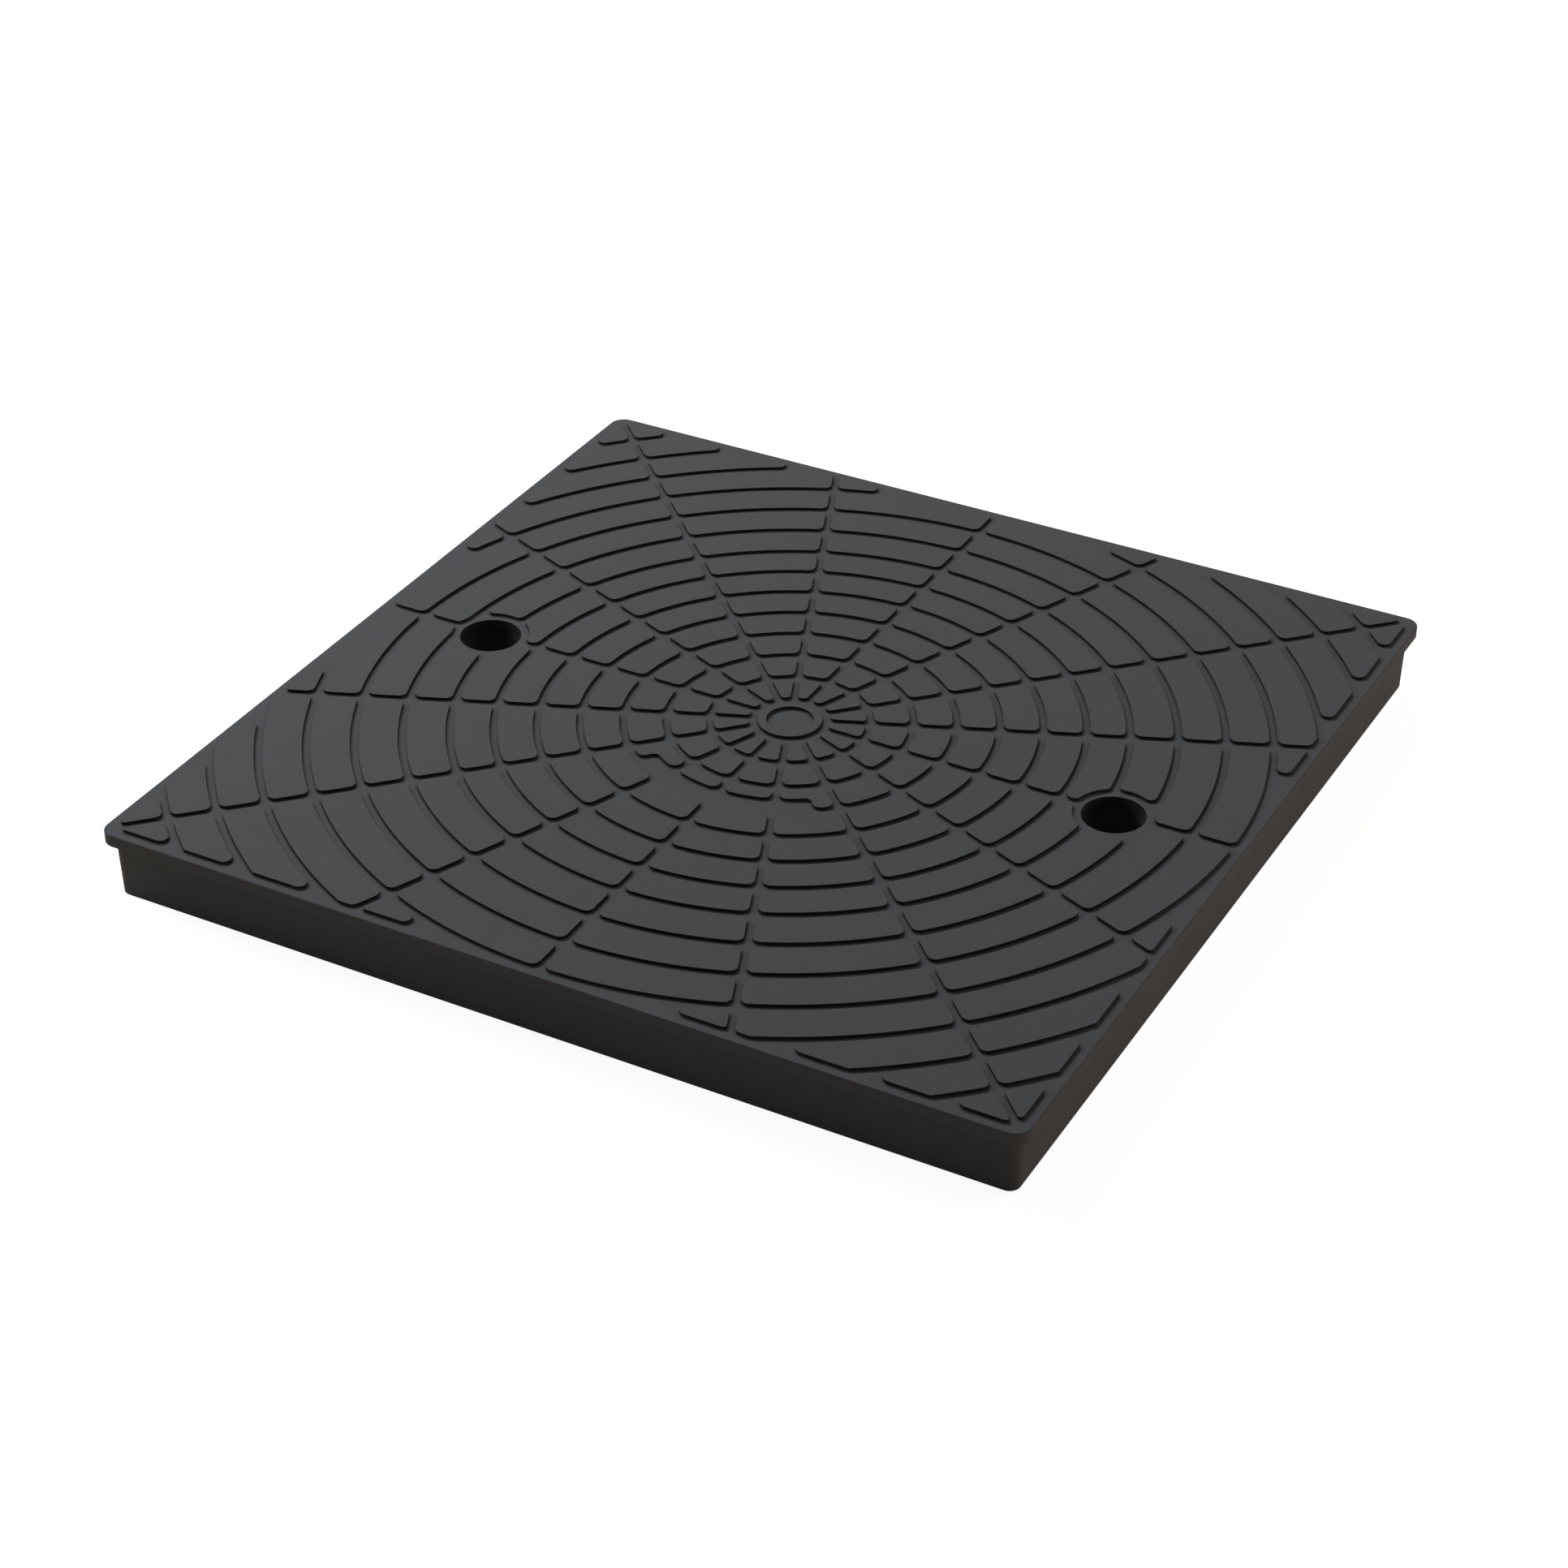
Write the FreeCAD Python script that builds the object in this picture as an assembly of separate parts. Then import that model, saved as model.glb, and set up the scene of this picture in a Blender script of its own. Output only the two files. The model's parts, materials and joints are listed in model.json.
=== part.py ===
import FreeCAD, Part
import math
import os

# A square cable pit cover, moulded in one piece: a flat lid with a thin lip,
# a skirt with draft below it, a ribbed underside, two round lifting holes
# and a raised pattern of arc-shaped tiles cut by sixteen spokes.
#
# Millimetres. +Z is up. The origin is at the centre of the plane on which
# the skirt stands. The sides run along X and Y, and the lifting holes lie
# on the Y axis.

# Lid and skirt
lid_side = 668.0              # over the lip, both ways
lid_height = 50.0             # from the bottom of the skirt to the base face
lid_corner_radius = 11.0
lip_thickness = 8.7
lip_edge_cut = 0.8            # along the upper edge of the lip
skirt_step = 5.7              # from the lip's edge in to the skirt, under the lip
skirt_taper = 1.3             # further in at the bottom of the skirt
skirt_corner_radius = 9.0

# Underside
top_thickness = 8.0
skirt_wall = 9.0              # at the bottom
rib_thickness = 6.0           # at the bottom
pockets_per_side = 9
pocket_draft = 1.0            # degrees

# Lifting holes
lifting_hole_diameter = 43.3
lifting_hole_offset = 241.9   # from the centre of the lid, along Y
lifting_tube_wall = 7.0

# Tiles
tile_height = 2.1
spoke_count = 16
spoke_gap = 5.5
first_ring_radius = 28.4      # inner radius of the innermost ring of tiles
narrow_ring_count = 7
narrow_tile_width = 23.8
narrow_ring_gap = 5.7
wide_tile_width = 26.3
wide_ring_gap = 6.0
tile_margin = 7.9             # from the lip's edge to the tiles
hole_margin = 6.1             # from a lifting hole to the tiles
tile_corner_radius = 5.0
tile_tip_radius = 2.0         # at the pointed tips in the lid's corners

# Centre ring
centre_ring_radius = 22.0
centre_ring_bore_radius = 16.5

# Plain strip: the third ring of tiles is narrower here, about the -X axis
strip_ring = 2
strip_radius = 98.9
strip_half_angle = 36.5       # degrees

# Each tile is rooted this far into the lid, so that the two join cleanly
root_depth = 1.0

# A corner of a tile that turns less than the first angle, in degrees, stays
# whole, and one that turns more than the second is a point. Each corner is
# cut square across, by as much as rounding to the radius would take off.
blunt_turn = 50.0
acute_turn = 110.0

up = FreeCAD.Vector(0, 0, 1)
lid_top = lid_height
lip_bottom = lid_top - lip_thickness
pocket_top = lid_top - top_thickness
lifting_hole_radius = lifting_hole_diameter / 2
hole_centres = [lifting_hole_offset, -lifting_hole_offset]


def point(x, y, z=0.0):
    return FreeCAD.Vector(x, y, z)


def disc(radius, low, high, y=0.0):
    """Upright round bar from one height to another, on the Y axis."""
    return Part.makeCylinder(radius, high - low, point(0, y, low), up)


def frustum(half_low, half_high, low, high):
    """Square block about the Z axis whose four sides lean evenly."""
    block = Part.makeWedge(-half_low, low, -half_low, -half_high, -half_high,
                           half_low, high, half_low, half_high, half_high)
    block.rotate(point(0, 0), point(1, 0), 90)
    return block


def upright_edges(shape):
    """Straight edges that climb, plumb or leaning."""
    return [edge for edge in shape.Edges
            if abs(edge.Vertexes[0].Z - edge.Vertexes[-1].Z) > 0.5 * edge.Length]


def edges_at(shape, z):
    """Edges that lie level at one height."""
    return [edge for edge in shape.Edges
            if abs(edge.BoundBox.ZMin - z) < 1e-6 and abs(edge.BoundBox.ZMax - z) < 1e-6]


def make_lid():
    """The slab with its lip, and the skirt block under it, still solid."""
    half = lid_side / 2
    slab = frustum(half, half, lip_bottom, lid_top)
    slab = slab.makeFillet(lid_corner_radius, upright_edges(slab))
    slab = slab.makeChamfer(lip_edge_cut, edges_at(slab, lid_top))
    half_high = half - skirt_step
    half_low = half_high - skirt_taper
    skirt = frustum(half_low, half_high, 0, lip_bottom)
    skirt = skirt.makeFillet(skirt_corner_radius, upright_edges(skirt))
    return slab.fuse(skirt)


def make_pockets():
    """The spaces between the ribs, wider at their mouth for the draft."""
    inside = lid_side - 2 * (skirt_step + skirt_taper + skirt_wall)
    pitch = (inside + rib_thickness) / pockets_per_side
    half_low = (pitch - rib_thickness) / 2
    half_high = half_low - pocket_top * math.tan(math.radians(pocket_draft))
    pocket = frustum(half_low, half_high, 0, pocket_top)
    places = [(i - (pockets_per_side - 1) / 2) * pitch for i in range(pockets_per_side)]
    return [pocket.translated(point(x, y)) for x in places for y in places]


def ring_radii():
    """Inner and outer radius of each ring of tiles; the last fills the corners."""
    reach = math.sqrt(2) * (lid_side / 2 - tile_margin)
    radii = []
    inner = first_ring_radius
    while inner < reach - wide_ring_gap:
        narrow = len(radii) < narrow_ring_count
        outer = inner + (narrow_tile_width if narrow else wide_tile_width)
        radii.append((inner, outer))
        narrow = len(radii) < narrow_ring_count
        inner = outer + (narrow_ring_gap if narrow else wide_ring_gap)
    radii[-1] = (radii[-1][0], reach)
    return radii


def sector(number, low, high):
    """Wedge between two spokes, set back from each by half the spoke gap."""
    turn = 2 * math.pi / spoke_count
    start = number * turn
    middle = start + turn / 2
    apex = spoke_gap / 2 / math.sin(turn / 2)
    tip = point(apex * math.cos(middle), apex * math.sin(middle), low)
    sides = [point(math.cos(a), math.sin(a)) * lid_side for a in (start, start + turn)]
    outline = Part.makePolygon([tip, tip + sides[0], tip + sides[1], tip])
    return Part.Face(outline).extrude(point(0, 0, high - low))


def corners(shape):
    """Upright edges where an outline turns by more than the blunt angle.

    Each comes with the angle in radians, with the direction that points out
    of the shape there, and with the bend of its two walls: the sum of one
    over twice their radius, with a minus sign where the wall bulges.
    """
    found = []
    for edge in upright_edges(shape):
        place = edge.Vertexes[0].Point
        walls = shape.ancestorsOfType(edge, Part.Face)
        normals = [wall.normalAt(*wall.Surface.parameter(place)) for wall in walls]
        turn = normals[0].getAngle(normals[1])
        bend = 0.0
        for wall, normal in zip(walls, normals):
            if isinstance(wall.Surface, Part.Cylinder):
                bulge = normal.dot(place - wall.Surface.Center)
                bend -= 0.5 * bulge / wall.Surface.Radius ** 2
        if turn > math.radians(blunt_turn):
            found.append((edge, turn, normals[0] + normals[1], bend))
    return found


def cut_size(radius, turn):
    """Length along each side of a straight cut as large as a rounding of this radius."""
    rounded_off = math.tan(turn / 2) - turn / 2
    return radius * math.sqrt(2 * rounded_off / math.sin(turn))


def corner_block(edge, turn, outward, bend, radius):
    """Block that cuts a corner square across; one that bends open is cut nearer its tip."""
    size = cut_size(radius, turn - bend * cut_size(radius, turn))
    depth = size * math.sin(turn / 2)
    width = 3 * size * math.cos(turn / 2)
    block = Part.makeBox(2 * depth, width, 2 * edge.Length)
    block.translate(point(-depth, -width / 2, -edge.Length / 2))
    block.rotate(point(0, 0), up, math.degrees(math.atan2(outward.y, outward.x)))
    place = edge.Vertexes[0].Point
    return block.translated(point(place.x, place.y, edge.BoundBox.ZMin))


def cut_corners(shape, radius):
    """Take the corners off; a tip between two flat walls loses less than the others."""
    blocks = []
    for edge, turn, outward, bend in corners(shape):
        tip = turn > math.radians(acute_turn) and bend == 0
        own_radius = tile_tip_radius if tip else radius
        blocks.append(corner_block(edge, turn, outward, bend, own_radius))
    return shape.cut(blocks) if blocks else shape


def plain_strip(outer, low, high):
    """The part of a ring that is left flat beside the narrower tiles."""
    bar = Part.makeCylinder(outer, high - low, point(0, 0, low), up, 2 * strip_half_angle)
    bar.rotate(point(0, 0), up, 180 - strip_half_angle)
    return cut_corners(bar.cut(disc(strip_radius, low, high)), tile_corner_radius)


def make_tiles():
    """All tiles of all rings, trimmed by the lid's edge and the lifting holes."""
    low = lid_top - root_depth
    high = lid_top + tile_height
    field_half = lid_side / 2 - tile_margin
    field = frustum(field_half, field_half, low, high)
    for y in hole_centres:
        field = field.cut(disc(lifting_hole_radius + hole_margin, low, high, y))
    sectors = [field.common(sector(i, low, high)) for i in range(spoke_count)]
    tiles = []
    for ring, (inner, outer) in enumerate(ring_radii()):
        band = disc(outer, low, high).cut(disc(inner, low, high))
        if ring == strip_ring:
            band = band.cut(plain_strip(outer + narrow_ring_gap, low, high))
        narrow_end = inner * 2 * math.pi / spoke_count - spoke_gap
        radius = min(tile_corner_radius, narrow_end / 2)
        for wedge in sectors:
            for tile in band.common(wedge).Solids:
                tiles.extend(cut_corners(tile, radius).Solids)
    return tiles


def make_centre_ring():
    """Raised ring about the middle of the lid."""
    low = lid_top - root_depth
    high = lid_top + tile_height
    return disc(centre_ring_radius, low, high).cut(disc(centre_ring_bore_radius, lid_top, high))


def make_cover():
    cover = make_lid().cut(make_pockets())
    tube_radius = lifting_hole_radius + lifting_tube_wall
    tubes = [disc(tube_radius, 0, pocket_top, y) for y in hole_centres]
    cover = cover.fuse(tubes + make_tiles() + [make_centre_ring()])
    bores = [disc(lifting_hole_radius, 0, lid_top + tile_height, y) for y in hole_centres]
    return cover.cut(bores).removeSplitter()


os.makedirs("parts", exist_ok=True)
cover = make_cover()
cover = cover.Solids[0] if len(cover.Solids) == 1 else cover
cover.exportStep("parts/cover.step")
print("solids", len(cover.Solids), "valid", cover.isValid(), "litres", round(cover.Volume / 1e6, 3))
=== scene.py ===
# %% [markdown]
# # A moulded cable pit cover
#
# The real object is one moulding of glass-fibre compound: a square lid with a thin lip, a skirt that
# drops into the pit's frame, ribs below and a raised pattern of arc-shaped tiles on top. The frame from
# the CAD model already has all of this at its real size, but with straight cuts at the tiles' corners
# and with sharp edges. Here the same moulding is made again as one closed mesh with true roundings.

# %% Load the frame
import cmath
import json
import math

import bmesh
import bpy
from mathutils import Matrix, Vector


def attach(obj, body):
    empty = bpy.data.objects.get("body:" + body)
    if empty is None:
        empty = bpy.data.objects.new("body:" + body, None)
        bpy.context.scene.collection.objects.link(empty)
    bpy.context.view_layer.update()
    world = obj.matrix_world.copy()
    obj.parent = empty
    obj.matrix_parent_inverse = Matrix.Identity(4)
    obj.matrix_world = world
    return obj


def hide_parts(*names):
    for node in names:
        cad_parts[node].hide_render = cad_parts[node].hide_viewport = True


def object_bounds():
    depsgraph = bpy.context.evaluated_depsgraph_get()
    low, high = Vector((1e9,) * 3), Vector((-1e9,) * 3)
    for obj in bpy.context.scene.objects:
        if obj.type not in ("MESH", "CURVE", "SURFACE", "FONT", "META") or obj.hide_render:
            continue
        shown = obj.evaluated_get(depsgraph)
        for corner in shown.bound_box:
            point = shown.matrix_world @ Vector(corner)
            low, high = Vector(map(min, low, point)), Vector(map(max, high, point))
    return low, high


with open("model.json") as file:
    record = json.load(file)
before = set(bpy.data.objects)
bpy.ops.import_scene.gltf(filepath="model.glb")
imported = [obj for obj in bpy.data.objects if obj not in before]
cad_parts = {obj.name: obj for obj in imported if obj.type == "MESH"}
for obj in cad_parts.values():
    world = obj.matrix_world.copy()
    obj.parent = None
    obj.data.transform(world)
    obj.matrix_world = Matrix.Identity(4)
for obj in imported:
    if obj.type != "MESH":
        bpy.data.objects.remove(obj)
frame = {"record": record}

cad_low, cad_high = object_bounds()
print("CAD box", [round(x, 4) for x in cad_low], [round(x, 4) for x in cad_high])

# %% [markdown]
# ## Sizes
#
# A mould is drawn in millimetres, so the sizes are kept in millimetres and turned into Blender's metres
# where a mesh is made. The lid's side and the height of its flat face come from the frame's own box and
# the lifting holes from the record, so that the mesh always sits where the solid does. The other sizes
# are those of the solid, and each is given where it is first needed.

# %% Name the main sizes
MM = 0.001
DIGITS = 3
TILE_HEIGHT = 2.1
LID_SIDE = round((cad_high.x - cad_low.x) / MM, DIGITS)
LID_TOP = round(cad_high.z / MM - TILE_HEIGHT, DIGITS)

holes = {mount["name"]: mount for mount in frame["record"]["mounts"] if mount["kind"] == "bore"}
HOLE_RADIUS = holes["lifting_hole_a"]["dims"]["r_mm"]
HOLE_OFFSET = holes["lifting_hole_a"]["pos_m"][1] / MM
print("lid", LID_SIDE, "top at", LID_TOP, "hole", HOLE_RADIUS, "at", HOLE_OFFSET)

# %% [markdown]
# ## The camera
#
# The photograph was taken with a long lens, 82 mm on a 36 mm sensor, from above the near left corner.
# The four corners of a square fix a camera completely, so its place and its heading are exact numbers
# and need no trial and error.

# %% Set up the camera
CAMERA_PLACE = Vector((-1.82305, -0.98149, 1.35314))
CAMERA_HEADING = Vector((0.736108, 0.398163, -0.547367))
LENS = 82.04
SENSOR = 36.0
NEAR_CLIP = 0.05
FAR_CLIP = 60.0

camera_data = bpy.data.cameras.new("camera")
camera_data.lens = LENS
camera_data.sensor_width = SENSOR
camera_data.clip_start = NEAR_CLIP
camera_data.clip_end = FAR_CLIP
camera = bpy.data.objects.new("camera", camera_data)
camera.location = CAMERA_PLACE
camera.rotation_euler = CAMERA_HEADING.to_track_quat("-Z", "Y").to_euler()
bpy.context.collection.objects.link(camera)
bpy.context.scene.camera = camera
print("camera", round(CAMERA_PLACE.length, 3), "m from the lid's centre")

# %% [markdown]
# ## Drawing outlines as a draughtsman does
#
# A tile's outline has straight sides and arcs, and each corner is a circle that touches both of its
# sides. The bevel operator can't round such a corner well, because the arc's own points are in its
# way. A draughtsman draws the sides first and then finds the circle that touches two of them, and
# that is what happens here. Places are complex numbers, which turn and mirror with one product.

# %% Sides of an outline
ARC_TURN = math.radians(5)
ARC_CHORD = 8.0
FAR_BACK = -1.0


def sweep(centre, arm, turn):
    """Points along an arc, both ends included, from the arm through a turn."""
    count = max(1, math.ceil(max(abs(turn) / ARC_TURN, abs(turn) * abs(arm) / ARC_CHORD)))
    return [centre + arm * cmath.rect(1, turn * i / count) for i in range(count + 1)]


class Line:
    """Straight side. The tile lies on the left of its heading."""

    def __init__(self, place, heading):
        self.place = place
        self.heading = heading / abs(heading)

    def depth(self, spot):
        """How far inside this side a spot lies."""
        return ((spot - self.place) / self.heading).imag

    def inward(self, spot):
        """Direction that leads inside, at a spot."""
        return self.heading * 1j

    def between(self, start, end):
        """Points on the side between two places on it."""
        return []


class Arc:
    """Round side. A hollow one has the tile outside its circle."""

    def __init__(self, centre, radius, hollow=False):
        self.centre = centre
        self.radius = radius
        self.hollow = hollow

    def depth(self, spot):
        depth = self.radius - abs(spot - self.centre)
        return -depth if self.hollow else depth

    def inward(self, spot):
        outward = (spot - self.centre) / abs(spot - self.centre)
        return outward if self.hollow else -outward

    def between(self, start, end):
        """Points between two places, or none where the corners use up the whole arc.

        Such corners overlap, which shows as a slight turn backward. A turn far
        backward stands for the long way round.
        """
        way = -1 if self.hollow else 1
        turn = way * cmath.phase((end - self.centre) / (start - self.centre))
        if turn < FAR_BACK:
            turn += 2 * math.pi
        if turn <= 0:
            return []
        return sweep(self.centre, start - self.centre, way * turn)[1:-1]


arc_points = sweep(0, LID_SIDE / 2, math.pi / 2)
print("a quarter circle as wide as the lid takes", len(arc_points), "points")

# %% [markdown]
# ## Corners that touch both sides
#
# The centre of a corner's circle is as deep inside one side as inside the other. Newton's method finds
# it in a few rounds, for straight and round sides alike. A corner that turns inward has its circle
# outside the tile, which is the same thing with a radius below zero.

# %% Rounded outlines
CORNER_TURN = math.radians(19)
NEWTON_ROUNDS = 25


def touching(before, after, radius, spot):
    """Centre of the circle that touches two sides from inside, near a spot."""
    for _ in range(NEWTON_ROUNDS):
        one = before.inward(spot)
        two = after.inward(spot)
        lack_one = radius - before.depth(spot)
        lack_two = radius - after.depth(spot)
        spot += 1j * (lack_two * one - lack_one * two) / (one.conjugate() * two).imag
    return spot


def outline(sides, radius_at):
    """Points round a shape, counter-clockwise.

    sides holds each side with a spot near the corner where it starts, and
    radius_at gives a corner's radius from its turn and its two sides.
    """
    corners = []
    for i, (side, spot) in enumerate(sides):
        before = sides[i - 1][0]
        sharp = touching(before, side, 0.0, spot)
        turn = cmath.phase(side.inward(sharp) / before.inward(sharp))
        radius = radius_at(turn, before, side)
        corners.append((touching(before, side, radius, sharp), radius))
    points = []
    for i, (side, spot) in enumerate(sides):
        centre, radius = corners[i]
        first = -sides[i - 1][0].inward(centre)
        last = -side.inward(centre)
        turn = cmath.phase(last / first)
        count = max(1, math.ceil(abs(turn) / CORNER_TURN))
        points += [centre + radius * first * cmath.rect(1, turn * k / count) for k in range(count + 1)]
        next_centre, next_radius = corners[(i + 1) % len(sides)]
        next_start = next_centre - next_radius * side.inward(next_centre)
        points += side.between(points[-1], next_start)
    return points


corner = touching(Line(0, 1), Line(1, 1j), 0.25, 0.5 + 0.5j)
print("a circle of 0.25 in the square corner at 1, 0 has its centre at", corner)

# %% [markdown]
# ## The pattern of tiles
#
# Fourteen rings of tiles lie round the centre, cut by sixteen straight spokes that keep their width.
# The lid's border trims the outer rings and the lifting holes trim the tiles beside them. Two sectors
# hold every kind of tile: the one beside an axis and the one beside a diagonal. The other fourteen
# are these two mirrored and turned, so only two are drawn.
#
# Each outline is drawn larger than the tile, by the width of all that lies outside its flat top: the
# flat band round its foot, the rounding there, the draft of its wall and its rounded upper edge. The
# steps that raise the tile take this width back, so its flat top ends where the solid's does.

# %% Rings and spokes
SPOKES = 16
SECTOR = 2 * math.pi / SPOKES
FOOT_ROUNDING = 0.3
FOOT_BAND = [1.0, 0.85]
TOP_ROUNDING = 0.2
WALL_DRAFT = 0.05
GROWTH = sum(FOOT_BAND) + FOOT_ROUNDING + WALL_DRAFT + TOP_ROUNDING

SPOKE_GAP = 5.5
TILE_MARGIN = 7.9
HOLE_MARGIN = 6.1
FIRST_RADIUS = 28.4
NARROW_RINGS = 7
NARROW_TILE = 23.8
NARROW_GAP = 5.7
WIDE_TILE = 26.3
WIDE_GAP = 6.0

half_gap = SPOKE_GAP / 2 - GROWTH
border = LID_SIDE / 2 - TILE_MARGIN + GROWTH
relief = HOLE_RADIUS + HOLE_MARGIN - GROWTH


def ring_radii():
    """Inner and outer radius of each ring; the last one fills the lid's corners."""
    reach = math.sqrt(2) * border
    radii = []
    inner = FIRST_RADIUS
    while inner < reach - WIDE_GAP:
        outer = inner + (NARROW_TILE if len(radii) < NARROW_RINGS else WIDE_TILE)
        radii.append((inner, outer))
        inner = outer + (NARROW_GAP if len(radii) < NARROW_RINGS else WIDE_GAP)
    radii[-1] = (radii[-1][0], reach)
    return radii


rings = ring_radii()
print(len(rings), "rings, the last one starts at", round(rings[-1][0], 1))

# %% [markdown]
# ## Where the sides meet
#
# The two sectors are drawn at the right of the lid, with a lifting hole on the X axis, and the border is
# an upright line there. A side starts where a ring's circle or a spoke's edge crosses the border, or
# where one of them crosses the circle that is kept clear round the hole.

# %% Crossings with the border and with a hole
def on_circle(radius, offset):
    """Place on a circle about the centre at a distance to the left of the X axis."""
    return complex(math.sqrt(radius ** 2 - offset ** 2), offset)


def on_border(radius):
    """Place where a circle about the centre crosses the border."""
    return on_circle(radius, math.sqrt(radius ** 2 - border ** 2))


def spoke_on_border(angle, offset):
    """Place where a spoke's edge crosses the border, with the offset to the left of the spoke."""
    return border + 1j * (border * math.tan(angle) + offset / math.cos(angle))


def on_relief(radius):
    """Place where a circle about the centre crosses the circle kept clear round a hole."""
    along = (radius ** 2 + HOLE_OFFSET ** 2 - relief ** 2) / (2 * HOLE_OFFSET)
    return complex(along, math.sqrt(radius ** 2 - along ** 2))


border_side = Line(border, 1j)
relief_side = Arc(HOLE_OFFSET, relief, hollow=True)
print("border at", round(border, 2), "mm, circle round a hole", round(relief, 2), "mm in radius")

# %% [markdown]
# ## The sides of one tile
#
# The sides are listed counter-clockwise: up the low spoke, along the outer arc, down the high spoke and
# back along the inner arc. A tile beside a hole has a hollow arc in place of a part of its low side. The
# tiles at both ends of the plain strip have a step in their outer side. Where the outer arc would pass
# the border, the tile ends at the border instead.

# %% Sides of one tile
STRIP_HALF_ANGLE = math.radians(36.5)


def sides_beside_hole(low_side, inner, outer):
    """Sides up the low spoke and round the hole, and the place where the outer arc starts."""
    low_inner = on_circle(inner, half_gap)
    low_outer = on_circle(outer, half_gap)
    starts_near = abs(low_inner - HOLE_OFFSET) < relief
    ends_near = abs(low_outer - HOLE_OFFSET) < relief
    reach = math.sqrt(relief ** 2 - half_gap ** 2)
    if starts_near:
        sides = [(relief_side, on_relief(inner))]
        if not ends_near:
            sides.append((low_side, complex(HOLE_OFFSET + reach, half_gap)))
    else:
        sides = [(low_side, low_inner)]
        if ends_near:
            sides.append((relief_side, complex(HOLE_OFFSET - reach, half_gap)))
    return sides, on_relief(outer) if ends_near else low_outer


def step_sides(low_way, strip, outer):
    """Sides along the plain strip and up the step at its end, and where the outer arc starts."""
    step_way = cmath.rect(1, STRIP_HALF_ANGLE)
    step_foot = complex(strip, -GROWTH) * step_way
    along_strip = (Arc(0, strip), on_circle(strip, half_gap) * low_way)
    up_step = (Line(step_foot, step_way), step_foot)
    return [along_strip, up_step], complex(outer, -GROWTH) * step_way


def tile_sides(inner, outer, low, holed=False, strip=None):
    """Sides of the tile between a low spoke and the next, or nothing beyond the border."""
    low_way = cmath.rect(1, low)
    high_way = cmath.rect(1, low + SECTOR)
    low_inner = on_circle(inner, half_gap) * low_way
    low_outer = on_circle(outer, half_gap) * low_way
    high_inner = on_circle(inner, -half_gap) * high_way
    high_outer = on_circle(outer, -half_gap) * high_way
    if high_inner.real > border:
        return None
    low_side = Line(low_inner, low_way)
    high_side = Line(high_inner, -high_way)
    sides = []
    outer_start = low_outer
    if low_inner.real < border:
        sides = [(low_side, low_inner)]
        if holed:
            sides, outer_start = sides_beside_hole(low_side, inner, outer)
    if strip:
        more, outer_start = step_sides(low_way, strip, outer)
        sides += more
    if low_outer.real > border:
        sides.append((border_side, spoke_on_border(low, half_gap) if sides else on_border(inner)))
        outer_start = on_border(outer)
    if high_outer.real < border:
        sides.append((Arc(0, outer), outer_start))
        sides.append((high_side, high_outer))
    else:
        sides.append((high_side, spoke_on_border(low + SECTOR, -half_gap)))
    sides.append((Arc(0, inner, hollow=True), high_inner))
    return sides


plain_tile = tile_sides(*rings[NARROW_RINGS], 0.0)
print("a plain tile has", len(plain_tile), "sides")

# %% [markdown]
# ## The corners of the tiles
#
# The corners are rounded to 5 mm. The innermost tiles are too narrow for that at their inner end. A tile
# beside each lifting hole has a side too short for two such corners, so corners at a hole are 4 mm. The
# pointed tips between two straight sides are tighter, and where the border meets an outer arc the corner
# is so blunt that it stays almost sharp. As the outline is drawn larger than the tile, each radius is
# larger too, except in the corner inside a step, which turns the other way.

# %% Round the corners by a rule
TILE_CORNER = 5.0
HOLE_CORNER = 4.0
STEP_CORNER = 5.0
TILE_TIP = 2.0
BLUNT_CORNER = 0.5
BLUNT_TURN = math.radians(50)
ACUTE_TURN = math.radians(110)


def beside_hole(side):
    """Whether a side is the arc round a hole, the only one whose centre isn't the lid's."""
    return isinstance(side, Arc) and side.centre != 0


def corner_rule(largest):
    """Radius for each corner of a tile, from its turn and the sides that meet there."""
    def radius_at(turn, before, after):
        if turn < 0:
            return GROWTH - STEP_CORNER
        if turn < BLUNT_TURN:
            return BLUNT_CORNER + GROWTH
        if beside_hole(before) or beside_hole(after):
            return HOLE_CORNER + GROWTH
        straight = isinstance(before, Line) and isinstance(after, Line)
        if straight and turn > ACUTE_TURN:
            return TILE_TIP + GROWTH
        return largest + GROWTH
    return radius_at


print("a plain tile's outline has", len(outline(plain_tile, corner_rule(TILE_CORNER))), "points")

# %% [markdown]
# ## All the tiles
#
# Every ring is gone round sector by sector. A drawn outline is mirrored about the diagonal and turned by
# quarters into its sector, and becomes one flat face with as many points as it needs. The holes lie on
# the Y axis, and the third ring has its plain strip about the -X axis.

# %% Draw all the tiles
PER_QUARTER = SPOKES // 4
HOLE_SECTORS = (3, 4, 11, 12)
STRIP_SECTORS = (6, 7, 8, 9)
STRIP_RING = 2
STRIP_RADIUS = 98.9


def in_sector(points, sector):
    """Turn and mirror a drawn outline into one of the sixteen sectors."""
    quarter, part = divmod(sector, PER_QUARTER)
    if part >= PER_QUARTER / 2:
        points = [1j * p.conjugate() for p in reversed(points)]
    return [p * 1j ** quarter for p in points]


def tile_outline(number, sector):
    """Outline of one ring's tile in one sector, or nothing beyond the border."""
    inner, outer = rings[number]
    largest = min(TILE_CORNER, (inner * SECTOR - SPOKE_GAP) / 2)
    by_axis = sector % PER_QUARTER in (0, PER_QUARTER - 1)
    low = 0.0 if by_axis else SECTOR
    strip = None
    if number == STRIP_RING and sector in STRIP_SECTORS:
        if by_axis:
            outer = STRIP_RADIUS
        else:
            strip = STRIP_RADIUS + GROWTH
    sides = tile_sides(inner - GROWTH, outer + GROWTH, low, sector in HOLE_SECTORS, strip)
    return in_sector(outline(sides, corner_rule(largest)), sector) if sides else None


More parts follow.
